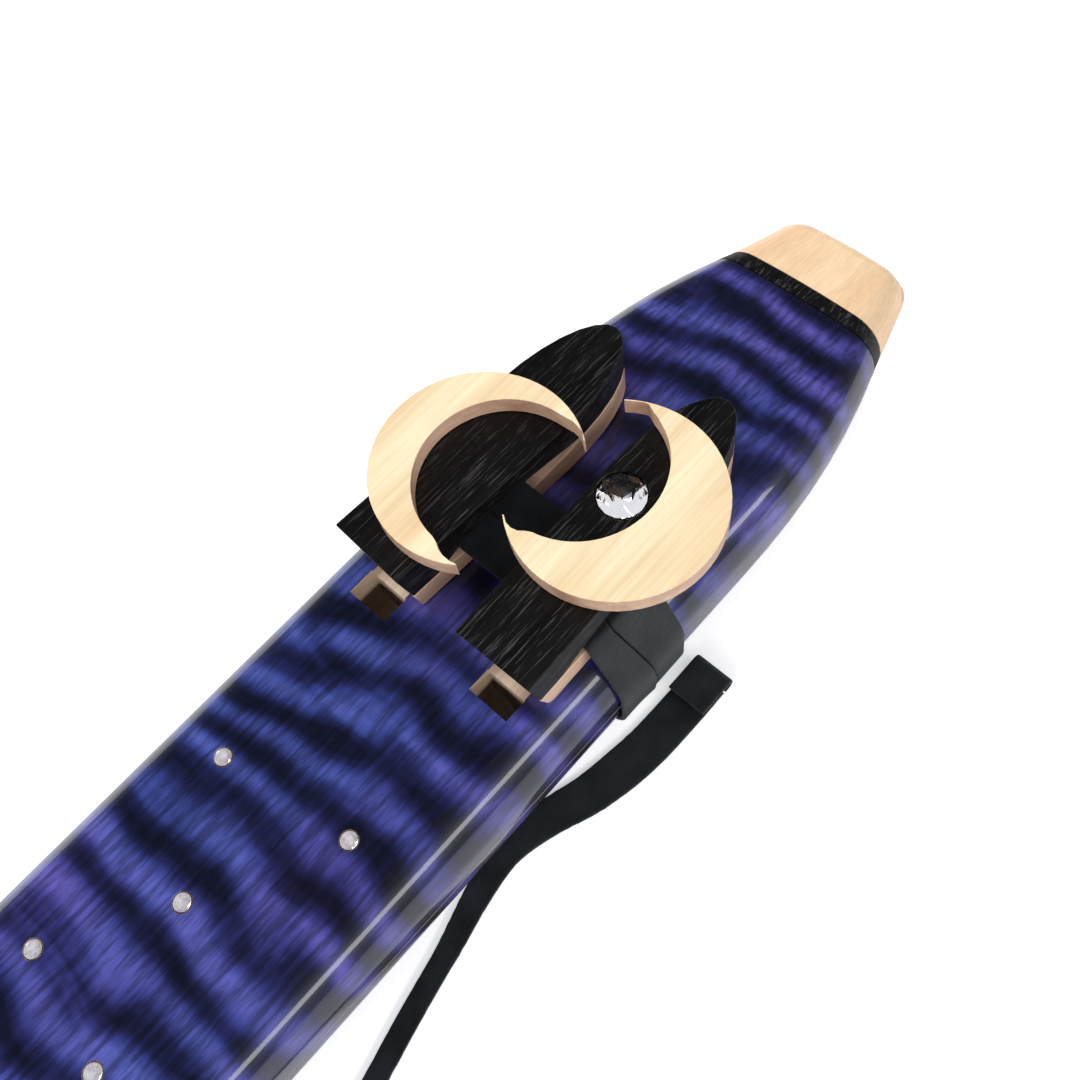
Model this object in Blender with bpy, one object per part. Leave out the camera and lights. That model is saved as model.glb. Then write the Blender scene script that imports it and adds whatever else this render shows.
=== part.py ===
"""Double-barrel drone flute in the Native American style, lying on its flat underside.

Built in millimetres in the maker's own frame and placed in metres:
x runs along the flute and is 0 at the sound holes, with the mouth end at +x;
y is to the flute's left, z is up and is 0 on the flat top that the blocks sit on.
"""

import math

import bmesh
import bpy
from mathutils import Vector

MM = 0.001
GAP = 0.3

# The body: a wide rounded bar, narrowed and planed down towards the mouth.
FOOT_X = -365.5
BODY_END_X = 115.0
DEPTH = 29.5
SEAM_Z = -DEPTH / 2
HALF_WIDTH = 32.1
WIDTH_SLOPE = 0.006
TAPER_X = 58.8
TAPER_WIDTH = 8.3
TAPER_POWER = 2.18
SLOPE_X = 48.0
TOP_DROP = 6.2
TOP_POWER = 1.43
RISE_X = -80.0
RISE_SLOPE = 0.0153
CORNER = 10.0
TOP_CORNER_AT_RING = 8.2
CROWN_AT_RING = 1.2

# The ebony ring and the maple mouth tip.
RING_X = (BODY_END_X + GAP, 119.4)
TIP_X = (RING_X[1] + GAP, 139.5)
TIP_HALF_WIDTH = (22.6, 17.3)
TIP_TOP = (-6.9, -9.6)
TIP_BOTTOM = (-26.4, -24.5)
TIP_CORNER = (8.0, 7.3)
TIP_ROUND = 4.5

# The two barrels: a sound bore from the foot, a wall, and an air chamber towards the mouth.
BARREL_Y = 16.7
BORE_R = 10.0
BORE_END_X = 2.5
CHAMBER_X = (22.0, 70.0, BODY_END_X + 1.0)
CHAMBER_MOUTH = (7.5, 3.0)
BLOW_R = 3.2
BLOW_DROP = 0.0
SOUND_HOLES = ((17.3, -5.0, 1.3, 10.3), (-16.0, -3.9, 1.5, 10.0))
FLUE_DEPTH = 1.0
FLUE_WIDTH = 9.6
EXIT_HOLE_X = (22.5, 28.5)
FINGER_HOLES = ((-150, 7.5), (-175, 8.5), (-200, 8.0), (-232, 8.5), (-257, 9.0), (-282, 8.0))

# A block: a maple base and an ebony top around a lens-shaped strap tunnel.
BLOCK_LENGTH = 70.3
BLOCK_HALF = 9.13
BLOCK_TIP = 25.0
BLOCK_TOP_Z = 16.3
BLOCK_LEAN = 2.9
LAYER_Z = 6.2
TUNNEL_U = (8.5, 25.0, 50.0)
TUNNEL_FLOOR = (6.05, 5.2, 7.6)
TUNNEL_ROOF = (6.35, 10.7, 7.9)
BLOCKS = {"left": (0.4, 17.6, -0.048), "right": (0.4, -16.1, 0.02)}

# The two crescents: centre and radius of the outer and of the inner edge, then the horn ends' y.
MOON_Z = (BLOCK_TOP_Z + GAP, 21.0)
MOON_R = (21.5, 17.5)
HORN_SHARE = 0.1
HORN_TIP = 0.3
MOONS = {
    "left": ((26.7, 12.0), (27.8, 6.4), -0.9, 0.0, 1),
    "right": ((38.4, -13.3), (40.0, -2.6), -0.6, 0.6, -1),
}

# The crystals: one in the right block and five in the body.
BIG_CRYSTAL = (41.1, -12.3)
BIG_CRYSTAL_R = 5.0
STAR_CRYSTALS = ((-39.4, -14.3), (-45.1, 16.1), (-67.7, 1.0), (-91.7, 15.7), (-96.3, -9.3))
STAR_CRYSTAL_R = 1.75

# The leather strap: two turns side by side, a folded end and a free tail on the table.
STRAP_T = 1.0
STRAP_W = 9.5
TURNS_X = {"front": 15.2, "rear": 25.0}
STRAP_TOP_Z = 6.45
STRAP_EDGE_Y = (26.1, -25.4)
TURN_HALF_WIDTH = 32.4
FOLD_Y = -39.3
FOLD_X = (28.0, 36.6)
FOLD_Z = -26.0
TAIL_Z = -28.9
TAIL_POINTS = (
    (35.4, -39.3),
    (26.0, -39.3),
    (14.0, -38.8),
    (1.0, -36.6),
    (-10.0, -33.0),
    (-20.0, -31.2),
    (-30.0, -32.6),
    (-42.0, -35.6),
    (-56.0, -38.6),
    (-70.0, -42.0),
    (-86.0, -46.0),
    (-104.0, -49.0),
    (-122.0, -50.0),
)

# Where the maker's frame sits in the scene: centred in x, with the underside at height 0.
SHIFT = Vector((113.0, 0.0, DEPTH))


def clear_scene():
    for obj in list(bpy.data.objects):
        bpy.data.objects.remove(obj)


def make_material(name, colour, roughness, metallic=0.0):
    material = bpy.data.materials.new(name)
    material.use_nodes = True
    shader = material.node_tree.nodes["Principled BSDF"]
    shader.inputs["Base Color"].default_value = (*colour, 1.0)
    shader.inputs["Roughness"].default_value = roughness
    shader.inputs["Metallic"].default_value = metallic
    return material


def add_object(name, points, faces, material=None, smooth_angle=None, origin=(0.0, 0.0, 0.0)):
    """A mesh object from points in millimetres of the maker's frame, with outward faces."""
    start = Vector(origin)
    mesh = bpy.data.meshes.new(name)
    mesh.from_pydata([(Vector(p) - start) * MM for p in points], [], faces)
    work = bmesh.new()
    work.from_mesh(mesh)
    bmesh.ops.recalc_face_normals(work, faces=work.faces)
    work.to_mesh(mesh)
    work.free()
    obj = bpy.data.objects.new(name, mesh)
    obj.location = (start + SHIFT) * MM
    bpy.context.scene.collection.objects.link(obj)
    if material:
        mesh.materials.append(material)
    if smooth_angle:
        mesh.shade_smooth()
        mesh.set_sharp_from_angle(angle=math.radians(smooth_angle))
    return obj


def loft(sections):
    """Points and faces of a closed body through a row of equally long closed outlines."""
    count = len(sections[0])
    points = [p for section in sections for p in section]
    faces = [tuple(range(count))]
    for i in range(len(sections) - 1):
        for j in range(count):
            k = (j + 1) % count
            a = i * count
            faces.append((a + j, a + k, a + count + k, a + count + j))
    last = (len(sections) - 1) * count
    faces.append(tuple(range(last, last + count)))
    return points, faces


def cutter(name, points, faces):
    obj = add_object(name, points, faces)
    obj.hide_render = True
    obj.display_type = "WIRE"
    return obj


def boolean(obj, other, operation="DIFFERENCE"):
    modifier = obj.modifiers.new(other.name, "BOOLEAN")
    modifier.operation = operation
    modifier.solver = "EXACT"
    modifier.object = other


def box_points(x, y, z):
    sections = []
    for at in x:
        sections.append([(at, y[0], z[0]), (at, y[1], z[0]), (at, y[1], z[1]), (at, y[0], z[1])])
    return loft(sections)


def tube_points(rings, sides=28):
    """A round body through (centre, radius, axis letter) rings, their circles square to x or to z."""
    sections = []
    for (cx, cy, cz), radius, axis in rings:
        section = []
        for i in range(sides):
            angle = 2 * math.pi * (i + 0.5) / sides
            across, up = radius * math.cos(angle), radius * math.sin(angle)
            if axis == "x":
                section.append((cx, cy + across, cz + up))
            else:
                section.append((cx + across, cy + up, cz))
        sections.append(section)
    return loft(sections)


def joined(shapes):
    """Several separate closed shapes as the points and faces of one mesh."""
    points, faces = [], []
    for more_points, more_faces in shapes:
        start = len(points)
        points += more_points
        faces += [tuple(start + i for i in face) for face in more_faces]
    return points, faces


def ramp(x, start, end):
    return max(0.0, (x - start) / (end - start))


def half_width(x):
    narrowed = TAPER_WIDTH * ramp(x, TAPER_X, BODY_END_X) ** TAPER_POWER
    return HALF_WIDTH + WIDTH_SLOPE * min(x, TAPER_X) - narrowed


def top_z(x):
    return -TOP_DROP * ramp(x, SLOPE_X, BODY_END_X) ** TOP_POWER


def bottom_z(x):
    return -DEPTH + RISE_SLOPE * max(0.0, x - RISE_X)


def upper_outline(x, width, top, corner, crown, low, steps=8):
    """The upper half's outline at x, from the seam up over the top and down to the seam."""
    points = [(x, -width, low)]
    for i in range(steps + 1):
        angle = math.pi / 2 * i / steps
        y = width - corner + corner * math.cos(angle)
        points.append((x, -y, top - corner + corner * math.sin(angle)))
    flat = width - corner
    for share in (-0.66, -0.33, 0.0, 0.33, 0.66):
        points.append((x, flat * share, top))
    for i in range(steps + 1):
        angle = math.pi / 2 * (1 - i / steps)
        y = width - corner + corner * math.cos(angle)
        points.append((x, y, top - corner + corner * math.sin(angle)))
    points.append((x, width, low))
    return [(x, y, z - crown * (y / width) ** 2 if z > low + 1.0 else z) for x, y, z in points]


def lower_outline(x, width, bottom, corner, high, steps=8):
    """The lower half's outline at x, from the seam down under the bottom and up to the seam."""
    points = [(x, -width, high)]
    for i in range(steps + 1):
        angle = math.pi / 2 * i / steps
        y = width - corner + corner * math.cos(angle)
        points.append((x, -y, bottom + corner - corner * math.sin(angle)))
    for i in range(steps + 1):
        angle = math.pi / 2 * (1 - i / steps)
        y = width - corner + corner * math.cos(angle)
        points.append((x, y, bottom + corner - corner * math.sin(angle)))
    points.append((x, width, high))
    return points


def whole_outline(x, width, top, bottom, top_corner, bottom_corner, crown):
    """A full section: the upper outline and the lower outline joined at the seam's height."""
    upper = upper_outline(x, width, top, top_corner, crown, SEAM_Z)[1:-1]
    lower = lower_outline(x, width, bottom, bottom_corner, SEAM_Z)[1:-1]
    return upper + lower[::-1]


def body_stations():
    return [FOOT_X, RISE_X, -20.0, SLOPE_X] + [SLOPE_X + 8.375 * i for i in range(1, 9)]


def top_corner(x):
    return CORNER + (TOP_CORNER_AT_RING - CORNER) * ramp(x, SLOPE_X, BODY_END_X)


def crown(x):
    return CROWN_AT_RING * ramp(x, SLOPE_X, BODY_END_X)


def chamber_rings(side):
    start, straight, end = CHAMBER_X
    y, radius = CHAMBER_MOUTH
    return [
        ((start, side * BARREL_Y, SEAM_Z), BORE_R, "x"),
        ((straight, side * BARREL_Y, SEAM_Z), BORE_R, "x"),
        ((end, side * y, SEAM_Z), radius, "x"),
    ]


def bore_rings(side):
    return [
        ((FOOT_X - 1, side * BARREL_Y, SEAM_Z), BORE_R, "x"),
        ((BORE_END_X, side * BARREL_Y, SEAM_Z), BORE_R, "x"),
    ]


def build_body(wood):
    stations = body_stations()
    low = SEAM_Z + GAP / 2
    high = SEAM_Z - GAP / 2
    sections = []
    for x in stations:
        sections.append(upper_outline(x, half_width(x), top_z(x), top_corner(x), crown(x), low))
    upper = add_object("body_upper_half", *loft(sections), wood, 35)
    sections = []
    for x in stations:
        sections.append(lower_outline(x, half_width(x), bottom_z(x), CORNER, high))
    lower = add_object("body_lower_half", *loft(sections), wood, 35)

    barrels = []
    holes = []
    flues = []
    for side in (-1, 1):
        barrels += [tube_points(bore_rings(side)), tube_points(chamber_rings(side))]
    for y, x0, x1, width in SOUND_HOLES:
        flue_y = (y - FLUE_WIDTH / 2, y + FLUE_WIDTH / 2)
        holes.append(box_points((x0, x1), (y - width / 2, y + width / 2), (SEAM_Z, 2.0)))
        holes.append(box_points(EXIT_HOLE_X, flue_y, (SEAM_Z, 2.0)))
        flues.append(box_points((x1 - 0.5, EXIT_HOLE_X[0] + 0.5), flue_y, (-FLUE_DEPTH, 2.0)))
    for x, diameter in FINGER_HOLES:
        rings = [((x, -BARREL_Y, z), diameter / 2, "z") for z in (SEAM_Z, 2.0)]
        holes.append(tube_points(rings, 24))
    for x, y in STAR_CRYSTALS:
        rings = [((x, y, z), STAR_CRYSTAL_R + GAP, "z") for z in (-2.2, 2.0)]
        holes.append(tube_points(rings, 16))
    barrel_cut = cutter("barrel_cut", *joined(barrels))
    boolean(upper, barrel_cut)
    boolean(lower, barrel_cut)
    boolean(upper, cutter("top_hole_cut", *joined(holes)))
    boolean(upper, cutter("flue_cut", *joined(flues)))
    return upper, lower


def blow_rings(side):
    y = side * CHAMBER_MOUTH[0]
    return [
        ((BODY_END_X, y, SEAM_Z), BLOW_R, "x"),
        ((TIP_X[1] + 1, y, SEAM_Z - BLOW_DROP), BLOW_R, "x"),
    ]


def build_mouth(ebony, maple):
    sections = []
    for x in RING_X:
        sections.append(
            whole_outline(
                x,
                half_width(x),
                top_z(x),
                bottom_z(x),
                TOP_CORNER_AT_RING,
                CORNER,
                CROWN_AT_RING,
            )
        )
    ring = add_object("mouth_ring", *loft(sections), ebony, 35)

    sections = []
    steps = 6
    places = [(TIP_X[0], 0.0)]
    for i in range(steps + 1):
        angle = math.pi / 2 * i / steps
        x = TIP_X[1] - TIP_ROUND + TIP_ROUND * math.sin(angle)
        places.append((x, TIP_ROUND * (1 - math.cos(angle))))
    for x, inset in places:
        share = ramp(x, *TIP_X)
        width, top, bottom, corner = (
            pair[0] + (pair[1] - pair[0]) * share
            for pair in (TIP_HALF_WIDTH, TIP_TOP, TIP_BOTTOM, TIP_CORNER)
        )
        rounding = max(corner - inset, 0.8)
        sections.append(
            whole_outline(
                x,
                width - inset,
                top - inset,
                bottom + inset,
                rounding,
                rounding,
                CROWN_AT_RING,
            )
        )
    tip = add_object("mouth_tip", *loft(sections), maple, 35)
    for side in (-1, 1):
        hole = cutter("blow_hole_cut", *tube_points(blow_rings(side), 24))
        boolean(ring, hole)
        boolean(tip, hole)


def block_point(side, u, v, z):
    """A point of a block's own frame: u back from its front edge, v to the left of its middle."""
    x, y, angle = BLOCKS[side]
    c, s = math.cos(angle), math.sin(angle)
    return (x + u * c - v * s, y + u * s + v * c, z)


def block_plan(side, z, steps=14):
    straight = BLOCK_LENGTH - BLOCK_TIP
    outline = [(-5.0, -BLOCK_HALF)]
    for i in range(steps + 1):
        angle = -math.pi / 2 + math.pi * i / steps
        outline.append((straight + BLOCK_TIP * math.cos(angle), BLOCK_HALF * math.sin(angle)))
    outline.append((-5.0, BLOCK_HALF))
    return [block_point(side, u, v, z) for u, v in outline]


def curve_between(start, end, ease, steps=8):
    """Points from start to end, flat at the end (ease "out") or flat at the start (ease "in")."""
    points = []
    for i in range(steps + 1):
        t = i / steps
        share = math.sin(t * math.pi / 2) if ease == "out" else 1 - math.cos(t * math.pi / 2)
        points.append((start[0] + (end[0] - start[0]) * t, start[1] + (end[1] - start[1]) * share))
    return points


def tunnel_edge(heights):
    front, middle, back = zip(TUNNEL_U, heights)
    return curve_between(front, middle, "out") + curve_between(middle, back, "in")[1:]


def front_u(z):
    return BLOCK_LEAN * (1 - z / BLOCK_TOP_Z)


def cut_to_profile(block, side, name, profile):
    """Keeps what lies inside a side-view profile given as (u, z) points."""
    sections = [[block_point(side, u, v, z) for u, z in profile] for v in (-14.0, 14.0)]
    boolean(block, cutter(name, *loft(sections)), "INTERSECT")


def build_block(side, maple, ebony):
    base_plan = [block_plan(side, z) for z in (-2.0, 12.0)]
    base = add_object(side + "_block_base", *loft(base_plan), maple, 35)
    bottom = GAP
    far = BLOCK_LENGTH + 5.0
    floor = tunnel_edge(TUNNEL_FLOOR)
    profile = [(front_u(bottom), bottom), (far, bottom), (far, TUNNEL_FLOOR[2])]
    profile += floor[::-1] + [(front_u(LAYER_Z), TUNNEL_FLOOR[0])]
    if side == "right":
        heel = 2.6
        rounded = []
        for i in range(6):
            angle = math.pi / 2 * i / 5
            u = front_u(bottom) + heel * (1 - math.sin(angle))
            rounded.append((u, bottom + heel * (1 - math.cos(angle))))
        profile = profile[1:] + rounded[::-1]
    cut_to_profile(base, side, side + "_base_profile", profile)

    top_plan = [block_plan(side, z) for z in (2.0, 22.0)]
    top = add_object(side + "_block_top", *loft(top_plan), ebony, 35)
    roof = tunnel_edge(TUNNEL_ROOF)
    profile = [(front_u(LAYER_Z), TUNNEL_ROOF[0])] + roof
    profile += [(far, TUNNEL_ROOF[2]), (far, BLOCK_TOP_Z), (0.0, BLOCK_TOP_Z)]
    cut_to_profile(top, side, side + "_top_profile", profile)
    return base, top


def circle_angle_at(y, centre, radius, right):
    """The angle at which a circle passes height y on its right or its left half."""
    angle = math.asin((y - centre[1]) / radius)
    return angle if right else math.pi - angle


def build_moon(side, maple, steps=44):
    outer, inner, right_y, left_y, opening = MOONS[side]
    ends = []
    for centre, radius in zip((outer, inner), MOON_R):
        start = circle_angle_at(right_y, centre, radius, True)
        end = circle_angle_at(left_y, centre, radius, False)
        if opening < 0:
            start, end = end, start + 2 * math.pi
        ends.append((centre, radius, start, end))
    rows = []
    for i in range(steps + 1):
        share = i / steps
        pair = []
        for centre, radius, start, end in ends:
            angle = start + (end - start) * share
            pair.append((centre[0] + radius * math.cos(angle), centre[1] + radius * math.sin(angle)))
        from_tip = min(share, 1 - share) / HORN_SHARE
        if from_tip < 1:
            pair[1] = tuple(Vector(pair[0]).lerp(Vector(pair[1]), 0.1 + 0.9 * from_tip))
        if math.dist(pair[0], outer) - math.dist(pair[1], outer) < HORN_TIP:
            inward = (Vector(outer) - Vector(pair[0])).normalized()
            pair[1] = tuple(Vector(pair[0]) + inward * HORN_TIP)
        rows.append(pair)
    points = []
    for out, inn in rows:
        for x, y in (out, inn):
            for z in MOON_Z:
                points.append((x, y, z))
    sections = [points[4 * i : 4 * i + 4] for i in range(steps + 1)]
    ordered = [[a, b, d, c] for a, b, c, d in sections]
    return add_object(side + "_moon", *loft(ordered), maple, 35)


def crystal_rings(x, y, z, radius):
    """A brilliant cut: table, crown, girdle and a blunt culet."""
    return [
        ((x, y, z + 0.30 * radius), 0.55 * radius, "z"),
        ((x, y, z + 0.02 * radius), radius, "z"),
        ((x, y, z - 0.02 * radius), radius, "z"),
        ((x, y, z - 0.70 * radius), 0.12 * radius, "z"),
    ]


def build_crystals(glass, block_top):
    x, y = BIG_CRYSTAL
    seat = [((x, y, z), BIG_CRYSTAL_R + GAP, "z") for z in (BLOCK_TOP_Z - 4.3, BLOCK_TOP_Z + 2)]
    boolean(block_top, cutter("crystal_seat_cut", *tube_points(seat, 32)))
    rings = crystal_rings(x, y, BLOCK_TOP_Z - 0.1, BIG_CRYSTAL_R)
    add_object("block_crystal", *tube_points(rings, 16), glass)
    for number, (x, y) in enumerate(STAR_CRYSTALS, 1):
        rings = crystal_rings(x, y, 0.05, STAR_CRYSTAL_R)
        add_object("star_crystal_%d" % number, *tube_points(rings, 12), glass)


def wrapped_outline(x, extra, steps=72):
    """The outline, at x, of a band pulled tight over the blocks' tunnels and around the body."""
    side = TURN_HALF_WIDTH - CORNER
    bottom = bottom_z(TURNS_X["front"]) + CORNER
    nose = 0.7
    circles = [
        (STRAP_EDGE_Y[0] - nose, STRAP_TOP_Z - nose, nose),
        (STRAP_EDGE_Y[1] + nose, STRAP_TOP_Z - nose, nose),
        (side, -CORNER, CORNER + GAP),
        (-side, -CORNER, CORNER + GAP),
        (side, bottom, CORNER + GAP),
        (-side, bottom, CORNER + GAP),
    ]
    points = []
    for i in range(steps):
        angle = 2 * math.pi * (i + 0.5) / steps
        ny, nz = math.cos(angle), math.sin(angle)
        y, z, radius = max(circles, key=lambda c: c[0] * ny + c[1] * nz + c[2])
        points.append((x, y + (radius + extra) * ny, z + (radius + extra) * nz))
    return points


def build_turn(name, start, leather):
    """One turn of the strap: a closed band with an inner and an outer skin."""
    rings = [
        wrapped_outline(start, 0.0),
        wrapped_outline(start, STRAP_T),
        wrapped_outline(start + STRAP_W, STRAP_T),
        wrapped_outline(start + STRAP_W, 0.0),
    ]
    count = len(rings[0])
    points = [p for ring in rings for p in ring]
    faces = []
    for i in range(4):
        a, b = i * count, (i + 1) % 4 * count
        for j in range(count):
            k = (j + 1) % count
            faces.append((a + j, a + k, b + k, b + j))
    add_object(name, points, faces, leather, 35)


def build_fold(leather, steps=10):
    """The strap's folded end: it comes from under the turns, doubles back and meets the tail."""
    back_x = FOLD_X[1]
    middle_z = (FOLD_Z + TAIL_Z) / 2
    reach = (FOLD_Z - TAIL_Z) / 2
    line = [(FOLD_X[0], FOLD_Z, 0.0, 1.0), (back_x, FOLD_Z, 0.0, 1.0)]
    for i in range(1, steps):
        angle = math.pi / 2 - math.pi * i / steps
        c, s = math.cos(angle), math.sin(angle)
        line.append((back_x + reach * c, middle_z + reach * s, c, s))
    line.append((back_x - 0.6, TAIL_Z, 0.0, -1.0))
    half = STRAP_T / 2
    sections = []
    for y in (FOLD_Y - STRAP_W / 2, FOLD_Y + STRAP_W / 2):
        outer = [(x + half * nx, y, z + half * nz) for x, z, nx, nz in line]
        inner = [(x - half * nx, y, z - half * nz) for x, z, nx, nz in line]
        sections.append(outer + inner[::-1])
    add_object("strap_fold", *loft(sections), leather, 35)


def smooth_path(points, per_span=4):
    """A Catmull-Rom curve through the points."""
    ends = [points[0]] + list(points) + [points[-1]]
    path = []
    for i in range(1, len(ends) - 2):
        a, b, c, d = (Vector(p) for p in ends[i - 1 : i + 3])
        for j in range(per_span):
            t = j / per_span
            path.append(
                0.5
                * (
                    2 * b
                    + (c - a) * t
                    + (2 * a - 5 * b + 4 * c - d) * t * t
                    + (3 * b - a - 3 * c + d) * t * t * t
                )
            )
    path.append(Vector(points[-1]))
    return path


def build_tail(leather):
    path = smooth_path(TAIL_POINTS)
    sections = []
    for i, p in enumerate(path):
        along = (path[min(i + 1, len(path) - 1)] - path[max(i - 1, 0)]).normalized()
        across = Vector((-along.y, along.x)) * (STRAP_W / 2)
        section = []
        for side, z in ((-1, -1), (1, -1), (1, 1), (-1, 1)):
            spot = p + across * side
            section.append((spot.x, spot.y, TAIL_Z + z * STRAP_T / 2))
        sections.append(section)
    add_object("strap_tail", *loft(sections), leather)


def main():
    clear_scene()
    blue_maple = make_material("blue_maple", (0.045, 0.055, 0.30), 0.2)
    pale_maple = make_material("pale_maple", (0.80, 0.62, 0.42), 0.4)
    ebony = make_material("ebony", (0.012, 0.012, 0.013), 0.45)
    glass = make_material("crystal", (0.9, 0.9, 0.92), 0.05)
    leather = make_material("leather", (0.012, 0.014, 0.016), 0.6)

    build_body(blue_maple)
    build_mouth(ebony, pale_maple)
    tops = {}
    for side in BLOCKS:
        tops[side] = build_block(side, pale_maple, ebony)[1]
        build_moon(side, pale_maple)
    build_crystals(glass, tops["right"])
    for turn, start in TURNS_X.items():
        build_turn("strap_" + turn + "_turn", start, leather)
    build_fold(leather)
    build_tail(leather)


main()
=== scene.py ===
"""The double-barrel flute's looks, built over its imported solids.

Lengths are millimetres of the maker's frame until place() puts them in the scene:
x is 0 at the sound holes and grows towards the mouth, y is to the flute's left,
and z is 0 on the flat top that the blocks sit on. Materials, lights and the floor
are in metres of the scene.
"""

import math

import bmesh
import bpy
from mathutils import Euler, Matrix, Vector, noise


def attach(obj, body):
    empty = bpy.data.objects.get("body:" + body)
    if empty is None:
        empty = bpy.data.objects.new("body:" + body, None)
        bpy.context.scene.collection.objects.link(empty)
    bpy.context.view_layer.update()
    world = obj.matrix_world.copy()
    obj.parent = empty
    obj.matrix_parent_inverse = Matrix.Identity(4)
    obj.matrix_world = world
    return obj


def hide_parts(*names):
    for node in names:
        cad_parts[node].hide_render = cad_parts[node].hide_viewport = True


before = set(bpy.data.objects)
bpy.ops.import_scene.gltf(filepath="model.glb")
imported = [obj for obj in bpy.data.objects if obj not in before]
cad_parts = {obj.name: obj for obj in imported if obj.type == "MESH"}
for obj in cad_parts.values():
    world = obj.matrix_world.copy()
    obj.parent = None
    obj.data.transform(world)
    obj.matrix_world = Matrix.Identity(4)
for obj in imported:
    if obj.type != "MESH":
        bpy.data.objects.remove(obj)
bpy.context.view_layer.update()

MM = 0.001
DEPTH = 29.5
SHIFT = Vector((113.0, 0.0, DEPTH))

# The camera that the photograph's block, moon and ring edges agree on, its turn in degrees.
CAMERA_SPOT = (-29.64, -81.67, 198.59)
CAMERA_TURN = (26.212, 5.992, -47.509)
CAMERA_LENS = 36.0
CAMERA_SENSOR = 36.0

# The body, as far as its surface is needed to tell bare wood from dyed wood.
FOOT_X = -365.5
FOOT_SKIN = 0.5
SLOPE_X = 48.0
CORNER = 10.0
RISE_X = -80.0
RISE_SLOPE = 0.0153
BORES_HALF_WIDTH = 27.0
HOLES_HALF_WIDTH = 22.0
BOTTOM_SKIN = 1.6
TOP_SKIN = 1.4
HOLE_RIM = 0.2

# How the CAD meshes are smoothed: lengths in millimetres, angles in degrees.
WELD = 0.002
FLAT_ANGLE = 0.6
SMOOTH_ANGLE = 32
BEVEL_ANGLE = 40
BEVEL_STEPS = 3
FLAT_WEIGHT = 90
# Moon faces whose normal rises less than this get the painted wall shade.
WALL_TILT = 0.5

# The crystals. CUT_RINGS are rings of points: count, turn in steps, reach and height in radii.
BLOCK_TOP_Z = 16.3
BIG_CRYSTAL = (41.1, -12.3)
BIG_CRYSTAL_R = 5.0
BIG_CRYSTAL_SUNK = 0.1
STAR_CRYSTALS = ((-39.4, -14.3), (-45.1, 16.1), (-67.7, 1.0), (-91.7, 15.7), (-96.3, -9.3))
STAR_CRYSTAL_R = 1.75
STAR_CRYSTAL_PROUD = 0.05
CUT_RINGS = (
    (8, 0.0, 0.56, 0.30),
    (8, 0.5, 0.82, 0.17),
    (16, 0.0, 1.0, 0.02),
    (16, 0.0, 1.0, -0.02),
    (8, 0.5, 0.55, -0.36),
    (4, 0.0, 0.05, -0.69),
)

# The leather strap's section, and the shares of it that fill the CAD solids.
STRAP_T = 1.0
STRAP_W = 9.5
EDGE_SHARE = 0.42
EDGE_STEPS = 4
FLAT_STEPS = 10
TURN_FILL = 0.97
TAIL_FILL = 0.98
LEATHER_CREASE = 60

# The two turns round the body and blocks.
GAP = 0.3
TURNS_X = {"front": 15.2, "rear": 25.0}
STRAP_TOP_Z = 6.45
STRAP_EDGE_Y = (26.1, -25.4)
STRAP_NOSE_R = 0.7
TURN_HALF_WIDTH = 32.4
TURN_ANGLES = 360
LINE_STEP = 0.8

# The seam between the turns. SEAM_MARKS are (way down the right side, x) from SEAM_START (y, z).
SEAM_X = 24.85
SEAM_START = (5.0, 6.0)
SEAM_LOWEST_Z = -24.0
SEAM_MARKS = ((0.0, SEAM_X), (13.0, 26.8), (30.0, 21.6), (58.0, 25.4), (67.0, SEAM_X))

# The front turn's edge stands proud of the rear turn on the right side.
OVERLAP = 0.45
OVERLAP_Y = -20.0
OVERLAP_Z = -22.0

# Uneven leather: heights in millimetres, and waves per millimetre.
RIPPLE = 0.05
RIPPLE_WAVES = (0.25, 0.12, 0.12)
EDGE_WANDER = 0.10
EDGE_WAVES = 0.3
FRAY = 0.12
FRAY_WAVES = (0.8, 0.2)
FRAY_LAYER = 4.0
FRAY_BAND = 0.4

# The folded end and the tail.
FOLD_Y = -39.3
FOLD_X = (28.0, 36.6)
FOLD_Z = -26.0
FOLD_INSET = (0.2, 0.5)
FOLD_FLAT_STEPS = 8
FOLD_ROUND_STEPS = 18
TAIL_Z = -28.9
TAIL_TAPER = 0.5
TAPER_START = 0.2
TAPER_SPAN = 0.4
PATH_STEPS = 10
TAIL_POINTS = (
    (35.4, -39.3),
    (26.0, -39.3),
    (14.0, -38.8),
    (1.0, -36.6),
    (-10.0, -33.0),
    (-20.0, -31.2),
    (-30.0, -32.6),
    (-42.0, -35.6),
    (-56.0, -38.6),
    (-70.0, -42.0),
    (-86.0, -46.0),
    (-104.0, -49.0),
    (-122.0, -50.0),
)

# The curly maple: its bands' length in metres, their lean, and its tones.
CURL_PERIOD = 0.0125
CURL_LEAN = -0.14
CURL_DRIFT = 0.62
CURL_TONES = (
    (0.28, (0.003, 0.004, 0.026)),
    (0.42, (0.011, 0.014, 0.088)),
    (0.56, (0.030, 0.042, 0.215)),
    (0.74, (0.072, 0.090, 0.370)),
)
BLUE_CAST = (0.85, 1.0, 1.0)
VIOLET_CAST = (1.5, 0.85, 1.0)

# The dark and light tone of each maple, and how strongly its fine streaks show.
MAPLES = {
    "bare_maple": ((0.58, 0.44, 0.32), (0.80, 0.66, 0.50), 0.5),
    "moon_maple": ((0.84, 0.60, 0.34), (0.96, 0.80, 0.53), 0.4),
    # The block bases' own pinkish maple, also put on the moons' upright walls as painted shade.
    "base_maple_and_painted_wall_shade": ((0.52, 0.30, 0.19), (0.78, 0.52, 0.36), 0.5),
    "tip_maple": ((0.86, 0.58, 0.34), (0.95, 0.70, 0.44), 0.35),
}

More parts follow.
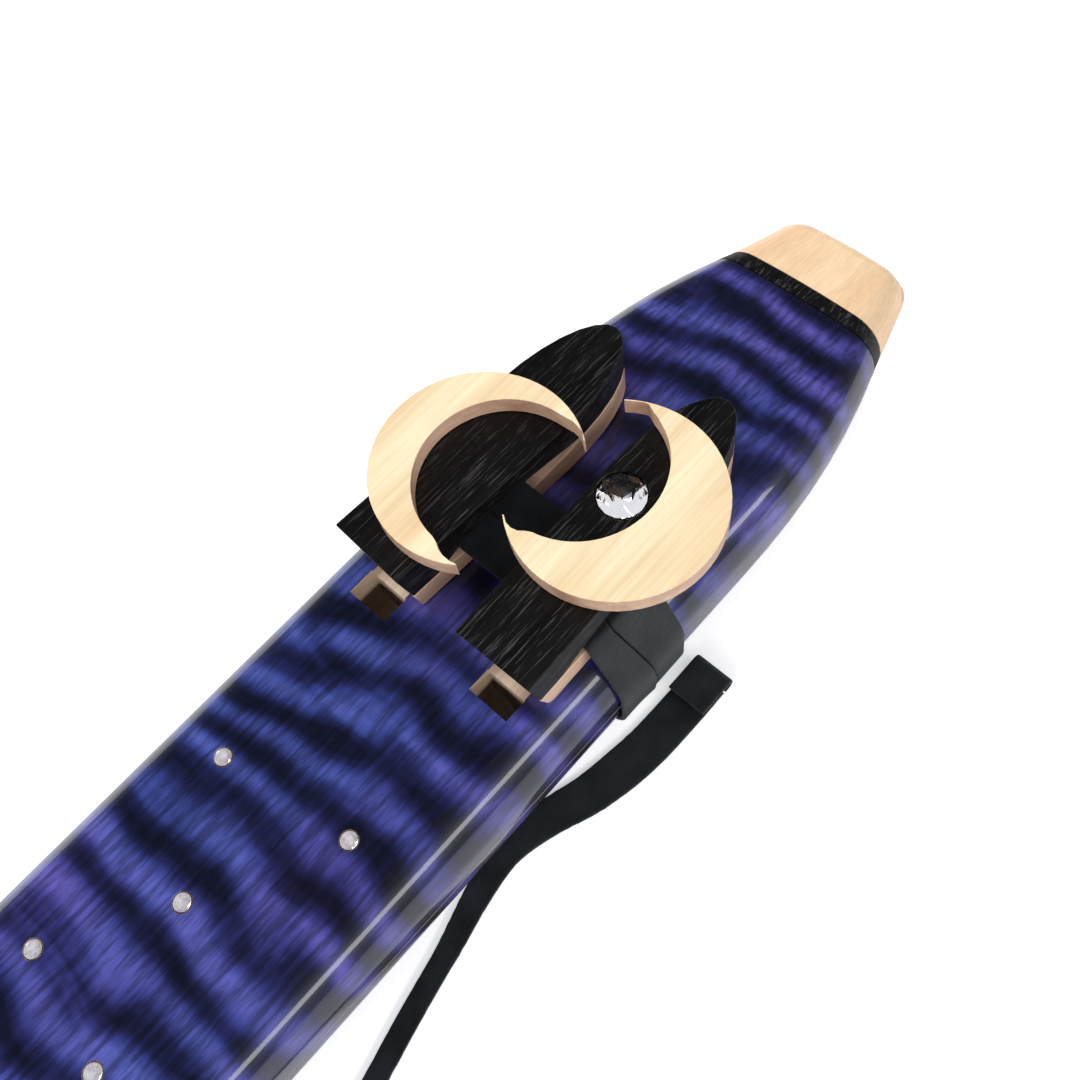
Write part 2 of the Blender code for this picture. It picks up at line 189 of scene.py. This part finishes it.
# The other materials.
COAT_ROUGHNESS = 0.07
EBONY_TONES = ((0.35, (0.003, 0.003, 0.003)), (0.70, (0.009, 0.008, 0.008)))
EBONY_PORES = (0.050, 0.047, 0.045)
LEATHER_TONES = ((0.35, (0.004, 0.006, 0.007)), (0.70, (0.014, 0.018, 0.021)))
CRYSTAL_TONES = ((0.3, (0.94, 0.96, 1.0)), (0.7, (1.0, 1.0, 1.0)))
FOIL_TONES = ((0.35, (0.72, 0.66, 0.70)), (0.65, (0.98, 0.97, 1.0)))
PAPER_TONES = ((0.3, (0.86, 0.86, 0.86)), (0.7, (0.90, 0.90, 0.90)))
CRYSTAL_IOR = 1.62

# The floor, the room's light and the lamps, in metres and watts.
FLOOR_SIZE = 4.0
FLOOR_Z = -0.0001
FLOOR_LIFT = 0.46
ROOM_LIGHT = (0.50, 0.51, 0.53, 1.0)
RAY_TONES = (
    ("Is Glossy Ray", (0.05, 0.055, 0.065, 1.0)),
    ("Is Transmission Ray", (0.85, 0.85, 0.88, 1.0)),
    ("Is Camera Ray", (1.0, 1.0, 1.0, 1.0)),
)

# Each light's spot, size, watts, and whether it shows in glossy surfaces.
LIGHTS = {
    "key": ((0.10, 1.35, 0.85), (0.9, 0.6), 22.0, False),
    "side": ((0.30, -1.00, 0.66), (1.3, 0.22), 6.0, True),
    "front": ((-1.1, -0.5, 0.75), (0.5, 0.5), 6.0, False),
}
LIGHT_AIM = Vector((0.12, 0.0, 0.02))


def place(point):
    """A point of the maker's frame, in metres of the scene."""
    return (Vector(point) + SHIFT) * MM


# Materials


class Paint:
    """A material being built: short calls that add a node and return its output."""

    def __init__(self, name, roughness, coat=0.0):
        self.material = bpy.data.materials.new(name)
        self.material.use_nodes = True
        self.tree = self.material.node_tree
        self.shader = self.tree.nodes["Principled BSDF"]
        self.set("Roughness", roughness)
        self.set("Coat Weight", coat)
        self.set("Coat Roughness", COAT_ROUGHNESS)
        self.position = self.node("ShaderNodeTexCoord").outputs["Object"]

    def set(self, name, value):
        """One value of the shader, the same all over the surface."""
        self.shader.inputs[name].default_value = value

    def node(self, kind):
        return self.tree.nodes.new(kind)

    def link(self, output, target):
        self.tree.links.new(output, target)

    def noise(self, scale, detail=3.0, distortion=0.0, roughness=0.55):
        """Noise whose lumps measure about 1/scale metres along x, y and z."""
        mapping = self.node("ShaderNodeMapping")
        mapping.inputs["Scale"].default_value = scale
        self.link(self.position, mapping.inputs["Vector"])
        texture = self.node("ShaderNodeTexNoise")
        texture.inputs["Scale"].default_value = 1.0
        texture.inputs["Detail"].default_value = detail
        texture.inputs["Distortion"].default_value = distortion
        texture.inputs["Roughness"].default_value = roughness
        self.link(mapping.outputs[0], texture.inputs["Vector"])
        return texture.outputs[0]

    def curl(self):
        """Bands across x, bent and faded by slow noise, as light rolls over curly grain."""
        mapping = self.node("ShaderNodeMapping")
        mapping.inputs["Rotation"].default_value = (0.0, 0.0, CURL_LEAN)
        self.link(self.position, mapping.inputs["Vector"])
        wave = self.node("ShaderNodeTexWave")
        wave.bands_direction = "X"
        wave.inputs["Scale"].default_value = math.pi / 10 / CURL_PERIOD
        wave.inputs["Distortion"].default_value = 9.0
        wave.inputs["Detail"].default_value = 2.0
        wave.inputs["Detail Scale"].default_value = 0.8
        self.link(mapping.outputs[0], wave.inputs["Vector"])
        drift = self.noise((75, 20, 20), detail=2.0, distortion=1.1)
        average = self.node("ShaderNodeMix")
        average.inputs[0].default_value = CURL_DRIFT
        self.link(wave.outputs["Fac"], average.inputs[2])
        self.link(drift, average.inputs[3])
        return average.outputs[0]

    def ramp(self, value, *stops):
        """A colour ramp over a value, from stops of (spot, colour)."""
        node = self.node("ShaderNodeValToRGB")
        elements = node.color_ramp.elements
        while len(elements) < len(stops):
            elements.new(0.5)
        for element, (spot, colour) in zip(elements, stops):
            element.position = spot
            element.color = (*colour, 1.0)
        self.link(value, node.inputs[0])
        return node.outputs[0]

    def grey(self, value, low, high, dark=0.0, light=1.0):
        """A ramp from a dark grey at low to a light grey at high."""
        return self.ramp(value, (low, (dark,) * 3), (high, (light,) * 3))

    def mix(self, kind, factor, first, second):
        """Two colours mixed; each of the three may be a value or another node's output."""
        node = self.node("ShaderNodeMix")
        node.data_type = "RGBA"
        node.blend_type = kind
        for target, value in zip((0, 6, 7), (factor, first, second)):
            if isinstance(value, bpy.types.NodeSocket):
                self.link(value, node.inputs[target])
            elif target == 0:
                node.inputs[0].default_value = value
            else:
                node.inputs[target].default_value = (*value, 1.0)
        return node.outputs[2]

    def bump(self, height, strength, distance):
        """Relief of a height output, its distance in metres."""
        node = self.node("ShaderNodeBump")
        node.inputs["Strength"].default_value = strength
        node.inputs["Distance"].default_value = distance
        self.link(height, node.inputs["Height"])
        self.link(node.outputs[0], self.shader.inputs["Normal"])

    def colour(self, output):
        """The finished material, with this output as its colour."""
        self.link(output, self.shader.inputs["Base Color"])
        return self.material


def dyed_maple():
    """Curly maple dyed blue with violet clouds, under a clear gloss."""
    paint = Paint("dyed_curly_maple", 0.4, coat=0.9)
    bands = paint.ramp(paint.curl(), *CURL_TONES)
    streak = paint.grey(paint.noise((110, 900, 900), detail=5.0), 0.40, 0.62, 0.35, 1.15)
    grained = paint.mix("MULTIPLY", 0.8, bands, streak)
    cloud = paint.grey(paint.noise((14, 26, 26), detail=2.0), 0.42, 0.64)
    cast = paint.mix("MIX", cloud, BLUE_CAST, VIOLET_CAST)
    paint.bump(paint.noise((40, 900, 900), detail=2.0), 0.03, 0.0002)
    return paint.colour(paint.mix("MULTIPLY", 0.8, grained, cast))


def maple(name):
    """Undyed maple with its grain along x."""
    dark, light, streaks = MAPLES[name]
    paint = Paint(name, 0.42, coat=0.25)
    broad = paint.ramp(paint.noise((18, 170, 170)), (0.35, dark), (0.65, light))
    fine = paint.grey(paint.noise((45, 1500, 1500), detail=4.0), 0.38, 0.62, 0.72, 1.0)
    paint.bump(paint.noise((60, 1900, 1900)), 0.12, 0.0002)
    return paint.colour(paint.mix("MULTIPLY", streaks, broad, fine))


def ebony():
    """Nearly black wood with fine paler pores along x."""
    paint = Paint("ebony", 0.5)
    paint.set("Specular IOR Level", 0.35)
    pores = paint.grey(paint.noise((90, 1900, 1900), roughness=0.7), 0.56, 0.64)
    base = paint.ramp(paint.noise((14, 260, 260)), *EBONY_TONES)
    paint.bump(pores, 0.35, 0.0002)
    return paint.colour(paint.mix("MIX", pores, base, EBONY_PORES))


def black_leather():
    """Soft black hide with a grain of about a millimetre."""
    paint = Paint("black_leather", 0.62)
    paint.set("Sheen Weight", 0.12)
    paint.set("Sheen Roughness", 0.5)
    hide = paint.noise((900, 900, 900), detail=5.0, roughness=0.65)
    paint.bump(hide, 0.45, 0.0004)
    return paint.colour(paint.ramp(paint.noise((120, 120, 120), detail=4.0), *LEATHER_TONES))


def crystal():
    """Clear lead glass."""
    paint = Paint("clear_crystal", 0.01)
    paint.set("Transmission Weight", 1.0)
    paint.set("IOR", CRYSTAL_IOR)
    return paint.colour(paint.ramp(paint.noise((700, 700, 700), detail=2.0), *CRYSTAL_TONES))


def foil_backed_crystal():
    """Small clear stones that a foil behind them makes bright."""
    paint = Paint("foil_backed_crystal", 0.05)
    paint.set("Transmission Weight", 0.35)
    paint.set("Metallic", 0.25)
    return paint.colour(paint.ramp(paint.noise((900, 900, 900), detail=1.0), *FOIL_TONES))


# Pieces


def finished(name, mesh, materials, body, node):
    """An object of this mesh that rides on a body and stands for the named CAD node."""
    obj = bpy.data.objects.new(name, mesh)
    bpy.context.scene.collection.objects.link(obj)
    for material in materials:
        mesh.materials.append(material)
    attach(obj, body)
    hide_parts(node)
    return obj


def polished(node, materials, body, bevel=0.0, inner=None):
    """A welded, smooth copy of a CAD node; inner() says which faces get the second material."""
    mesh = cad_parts[node].data.copy()
    mesh.materials.clear()
    work = bmesh.new()
    work.from_mesh(mesh)
    bmesh.ops.remove_doubles(work, verts=work.verts, dist=WELD * MM)
    flat = math.radians(FLAT_ANGLE)
    bmesh.ops.dissolve_limit(work, angle_limit=flat, verts=work.verts, edges=work.edges)
    for face in work.faces:
        spot = face.calc_center_median() / MM - SHIFT
        face.material_index = 1 if inner and inner(spot, face.normal) else 0
    work.to_mesh(mesh)
    work.free()
    mesh.normals_split_custom_set([(0.0, 0.0, 0.0)] * len(mesh.loops))
    mesh.shade_smooth()
    mesh.set_sharp_from_angle(angle=math.radians(SMOOTH_ANGLE))
    obj = finished(node + "_finish", mesh, materials, body, node)
    if bevel:
        modifier = obj.modifiers.new("soft_edges", "BEVEL")
        modifier.width = bevel * MM
        modifier.segments = BEVEL_STEPS
        modifier.limit_method = "ANGLE"
        modifier.angle_limit = math.radians(BEVEL_ANGLE)
    modifier = obj.modifiers.new("flat_faces_stay_flat", "WEIGHTED_NORMAL")
    modifier.keep_sharp = True
    modifier.weight = FLAT_WEIGHT


def painted_shade_wall(spot, normal):
    """True for the upright faces of a moon, which get the darker base maple as painted shade."""
    return abs(normal.z) < WALL_TILT


def bottom_z(x):
    """The body's underside, which rises slightly towards the mouth."""
    return -DEPTH + RISE_SLOPE * max(0.0, x - RISE_X)


def bare_wood(spot, normal):
    """True where a face of the body's halves is inside a hole or bore."""
    if spot.x > SLOPE_X or spot.x < FOOT_X + FOOT_SKIN:
        return False
    deep = abs(spot.y) < BORES_HALF_WIDTH and bottom_z(spot.x) + BOTTOM_SKIN < spot.z < -TOP_SKIN
    shallow = abs(spot.y) < HOLES_HALF_WIDTH and -TOP_SKIN <= spot.z < -HOLE_RIM
    return deep or shallow


def cut_crystal(node, spot, radius, material, body):
    """A brilliant cut: the hull of its table, crown, girdle, pavilion and culet points."""
    work = bmesh.new()
    for count, turn, reach, height in CUT_RINGS:
        for i in range(count):
            angle = 2 * math.pi * (i + turn) / count
            corner = Vector((reach * math.cos(angle), reach * math.sin(angle), height))
            work.verts.new(place(Vector(spot) + corner * radius))
    bmesh.ops.convex_hull(work, input=work.verts)
    bmesh.ops.recalc_face_normals(work, faces=work.faces)
    mesh = bpy.data.meshes.new(node + "_cut")
    work.to_mesh(mesh)
    work.free()
    finished(node + "_cut", mesh, [material], body, node)


def leather_mesh(name, rows, ring):
    """A smooth mesh through equal rows of points, closed into a ring or with capped ends."""
    points = [place(p) for row in rows for p in row]
    count = len(rows[0])
    faces = []
    for i in range(len(rows) if ring else len(rows) - 1):
        here = i * count
        there = (i + 1) % len(rows) * count
        for j in range(count):
            k = (j + 1) % count
            faces.append((here + j, here + k, there + k, there + j))
    if not ring:
        faces.append(tuple(range(count)))
        faces.append(tuple(range(len(points) - count, len(points))))
    mesh = bpy.data.meshes.new(name)
    mesh.from_pydata(points, [], faces)
    work = bmesh.new()
    work.from_mesh(mesh)
    bmesh.ops.recalc_face_normals(work, faces=work.faces)
    work.to_mesh(mesh)
    work.free()
    mesh.shade_smooth()
    mesh.set_sharp_from_angle(angle=math.radians(LEATHER_CREASE))
    return mesh


def strap_section():
    """Points (across, out) of the strap's section with rounded edges, out being 0 to STRAP_T."""
    edge = STRAP_T * EDGE_SHARE
    flat = STRAP_W / 2 - edge
    points = []
    for quarter, side in enumerate((1, -1, -1, 1)):
        upper = quarter < 2
        middle = STRAP_T - edge if upper else edge
        for i in range(EDGE_STEPS + 1):
            angle = math.pi / 2 * (quarter + i / EDGE_STEPS)
            across = side * flat + edge * math.cos(angle)
            points.append((across, middle + edge * math.sin(angle)))
        if quarter in (0, 2):
            for i in range(1, FLAT_STEPS):
                across = side * flat * (1 - 2 * i / FLAT_STEPS)
                points.append((across, STRAP_T if upper else 0.0))
    return points


def wrapped(angle):
    """The point and the outward direction (y, z) of the turns' inner line at an angle."""
    side = TURN_HALF_WIDTH - CORNER
    low = bottom_z(TURNS_X["front"]) + CORNER
    left, right = STRAP_EDGE_Y
    circles = [
        (left - STRAP_NOSE_R, STRAP_TOP_Z - STRAP_NOSE_R, STRAP_NOSE_R),
        (right + STRAP_NOSE_R, STRAP_TOP_Z - STRAP_NOSE_R, STRAP_NOSE_R),
        (side, -CORNER, CORNER + GAP),
        (-side, -CORNER, CORNER + GAP),
        (side, low, CORNER + GAP),
        (-side, low, CORNER + GAP),
    ]
    ny, nz = math.cos(angle), math.sin(angle)
    y, z, radius = max(circles, key=lambda c: c[0] * ny + c[1] * nz + c[2])
    return y + radius * ny, z + radius * nz, ny, nz


def turn_line():
    """Points of the turns' inner line, about LINE_STEP apart or less, with their directions."""
    corners = [wrapped(2 * math.pi * i / TURN_ANGLES) for i in range(TURN_ANGLES)]
    line = []
    for i, here in enumerate(corners):
        there = corners[(i + 1) % len(corners)]
        steps = max(1, round(math.dist(here[:2], there[:2]) / LINE_STEP))
        for j in range(steps):
            share = j / steps
            line.append(tuple(a + (b - a) * share for a, b in zip(here, there)))
    return line


def seam_x(y, z):
    """Where the front turn's rear edge lies on the rear turn, which it partly covers."""
    reached = (SEAM_START[1] - z) + (SEAM_START[0] - y)
    if y > SEAM_START[0] or z < SEAM_LOWEST_Z:
        return SEAM_X
    for (start, x0), (end, x1) in zip(SEAM_MARKS, SEAM_MARKS[1:]):
        if reached <= end:
            return x0 + (x1 - x0) * max(0.0, reached - start) / (end - start)
    return SEAM_X


def build_turn(turn, leather):
    """One turn of the strap, between its outer edge and the seam."""
    front = turn == "front"
    first, last = TURNS_X["front"], TURNS_X["rear"] + STRAP_W
    rows = []
    for y, z, ny, nz in turn_line():
        row = []
        seam = seam_x(y, z)
        lifted = front and y < OVERLAP_Y and z > OVERLAP_Z
        for across, out in strap_section():
            share = 0.5 + across / STRAP_W
            if front:
                x = first + share * (seam - GAP / 2 - first)
            else:
                x = seam + GAP / 2 + share * (last - seam - GAP / 2)
            height = out * TURN_FILL
            if out > STRAP_T / 2:
                waves = Vector(n * w for n, w in zip((x, y, z), RIPPLE_WAVES))
                height += RIPPLE * noise.noise(waves) + (OVERLAP * share**3 if lifted else 0.0)
            waves = Vector((y * EDGE_WAVES, z * EDGE_WAVES, TURNS_X[turn]))
            wander = EDGE_WANDER * noise.noise(waves) * across / STRAP_W
            row.append((x + wander, y + ny * height, z + nz * height))
        rows.append(row)
    node = "strap_" + turn + "_turn"
    mesh = leather_mesh("strap_" + turn, rows, ring=True)
    finished(node + "_leather", mesh, [leather], "flute", node)


def build_fold(leather):
    """The strap's folded end: a flat stretch that turns down into the tail's start."""
    near_x, back_x = FOLD_X
    middle_z = (FOLD_Z + TAIL_Z) / 2
    radius = (FOLD_Z - TAIL_Z) / 2
    line = []
    for i in range(FOLD_FLAT_STEPS):
        x = near_x + FOLD_INSET[0] + (back_x - near_x) * i / FOLD_FLAT_STEPS
        line.append((x, FOLD_Z, 0.0, 1.0))
    for i in range(FOLD_ROUND_STEPS + 1):
        angle = math.pi / 2 - math.pi * i / FOLD_ROUND_STEPS
        nx, nz = math.cos(angle), math.sin(angle)
        line.append((back_x + radius * nx, middle_z + radius * nz, nx, nz))
    line.append((back_x - FOLD_INSET[1], TAIL_Z, 0.0, -1.0))
    rows = []
    for x, z, nx, nz in line:
        row = []
        for across, out in strap_section():
            off = (out - STRAP_T / 2) * TAIL_FILL
            row.append((x + nx * off, FOLD_Y + across, z + nz * off))
        rows.append(row)
    name = "strap_fold_leather"
    mesh = leather_mesh(name, rows, ring=False)
    return finished(name, mesh, [leather], "flute", "strap_fold")


def smooth_path(points):
    """A Catmull-Rom curve through the points."""
    ends = [points[0]] + list(points) + [points[-1]]
    path = []
    for i in range(1, len(ends) - 2):
        a, b, c, d = (Vector(p) for p in ends[i - 1 : i + 3])
        for j in range(PATH_STEPS):
            t = j / PATH_STEPS
            square = (2 * a - 5 * b + 4 * c - d) * t * t
            cube = (3 * b - a - 3 * c + d) * t * t * t
            path.append(0.5 * (2 * b + (c - a) * t + square + cube))
    path.append(Vector(points[-1]))
    return path


def build_tail(leather, fold):
    """The strap's free end, flat on the floor."""
    path = smooth_path(TAIL_POINTS)
    rows = []
    for i, spot in enumerate(path):
        tapered = min(1.0, max(0.0, i / len(path) - TAPER_START) / TAPER_SPAN)
        narrowed = 1.0 - TAIL_TAPER * tapered
        along = (path[min(i + 1, len(path) - 1)] - path[max(i - 1, 0)]).normalized()
        row = []
        for across, out in strap_section():
            reach = narrowed * across * TAIL_FILL
            if abs(across) > STRAP_W * FRAY_BAND:
                waves = Vector((spot.x * FRAY_WAVES[0], across * FRAY_WAVES[1], FRAY_LAYER))
                reach += FRAY * noise.noise(waves)
            x = spot.x - along.y * reach
            y = spot.y + along.x * reach
            row.append((x, y, TAIL_Z + (out - STRAP_T / 2) * TAIL_FILL))
        rows.append(row)
    name = "strap_tail_leather"
    mesh = leather_mesh(name, rows, ring=False)
    tail = finished(name, mesh, [leather], "flute", "strap_tail")


# Stage, light and camera


def build_camera():
    camera = bpy.data.objects.new("camera", bpy.data.cameras.new("camera"))
    bpy.context.scene.collection.objects.link(camera)
    camera.data.lens = CAMERA_LENS
    camera.data.sensor_width = CAMERA_SENSOR
    camera.data.clip_start = 0.005
    camera.data.clip_end = 20.0
    turn = Euler([math.radians(angle) for angle in CAMERA_TURN])
    camera.matrix_world = Matrix.LocRotScale(place(CAMERA_SPOT), turn, None)
    bpy.context.scene.camera = camera


def pale_paper():
    """The floor's paper, which glows where the camera sees it so that it comes out white."""
    paint = Paint("pale_paper", 0.9)
    seen = paint.node("ShaderNodeLightPath").outputs["Is Camera Ray"]
    glow = paint.node("ShaderNodeMath")
    glow.operation = "MULTIPLY"
    glow.inputs[1].default_value = FLOOR_LIFT
    paint.link(seen, glow.inputs[0])
    paint.link(glow.outputs[0], paint.shader.inputs["Emission Strength"])
    paint.set("Emission Color", (1.0, 1.0, 1.0, 1.0))
    return paint.colour(paint.ramp(paint.noise((8, 8, 8), detail=2.0), *PAPER_TONES))


def build_floor():
    bpy.ops.mesh.primitive_plane_add(size=FLOOR_SIZE, location=(0, 0, FLOOR_Z))
    floor = bpy.context.object
    floor.name = "floor"
    floor.data.materials.append(pale_paper())


def build_world():
    """Soft room light, with its own tone for what gloss, glass and the camera see."""
    world = bpy.data.worlds.new("studio")
    bpy.context.scene.world = world
    world.use_nodes = True
    nodes, links = world.node_tree.nodes, world.node_tree.links
    background = nodes["Background"]
    path = nodes.new("ShaderNodeLightPath")
    shown = ROOM_LIGHT
    for ray, tone in RAY_TONES:
        mix = nodes.new("ShaderNodeMix")
        mix.data_type = "RGBA"
        if isinstance(shown, tuple):
            mix.inputs[6].default_value = shown
        else:
            links.new(shown, mix.inputs[6])
        mix.inputs[7].default_value = tone
        links.new(path.outputs[ray], mix.inputs[0])
        shown = mix.outputs[2]
    links.new(shown, background.inputs["Color"])
    background.inputs["Strength"].default_value = 1.0


def build_lights():
    for name, (spot, size, watts, in_gloss) in LIGHTS.items():
        light = bpy.data.objects.new(name, bpy.data.lights.new(name, "AREA"))
        bpy.context.scene.collection.objects.link(light)
        light.data.shape = "RECTANGLE"
        light.data.size, light.data.size_y = size
        light.data.energy = watts
        light.location = spot
        light.rotation_euler = (LIGHT_AIM - Vector(spot)).to_track_quat("-Z", "Y").to_euler()
        light.visible_glossy = in_gloss


def build_body(black):
    wood = [dyed_maple(), maple("bare_maple")]
    for node in ("body_upper_half", "body_lower_half"):
        polished(node, wood, "flute", inner=bare_wood)
    polished("mouth_ring", [black], "flute")
    polished("mouth_tip", [maple("tip_maple")], "flute")


def build_blocks(black):
    moon_wood, base_and_wall_shade_wood = maple("moon_maple"), maple("base_maple_and_painted_wall_shade")
    for side in ("left", "right"):
        body, moon = side + "_block", side + "_moon"
        polished(side + "_block_base", [base_and_wall_shade_wood], body, bevel=0.25)
        polished(side + "_block_top", [black], body, bevel=0.35)
        # The moons' upright walls get the darker base maple as painted shade.
        polished(moon, [moon_wood, base_and_wall_shade_wood], body, bevel=0.7, inner=painted_shade_wall)


def build_crystals():
    spot = (*BIG_CRYSTAL, BLOCK_TOP_Z - BIG_CRYSTAL_SUNK)
    cut_crystal("block_crystal", spot, BIG_CRYSTAL_R, crystal(), "right_block")
    foiled = foil_backed_crystal()
    for number, (x, y) in enumerate(STAR_CRYSTALS, 1):
        spot = (x, y, STAR_CRYSTAL_PROUD)
        cut_crystal("star_crystal_%d" % number, spot, STAR_CRYSTAL_R, foiled, "flute")


def build_strap():
    leather = black_leather()
    for turn in TURNS_X:
        build_turn(turn, leather)
    build_tail(leather, build_fold(leather))


build_camera()
black = ebony()
build_body(black)
build_blocks(black)
build_crystals()
build_strap()
build_floor()
build_world()
build_lights()
bpy.context.scene.view_settings.view_transform = "Standard"
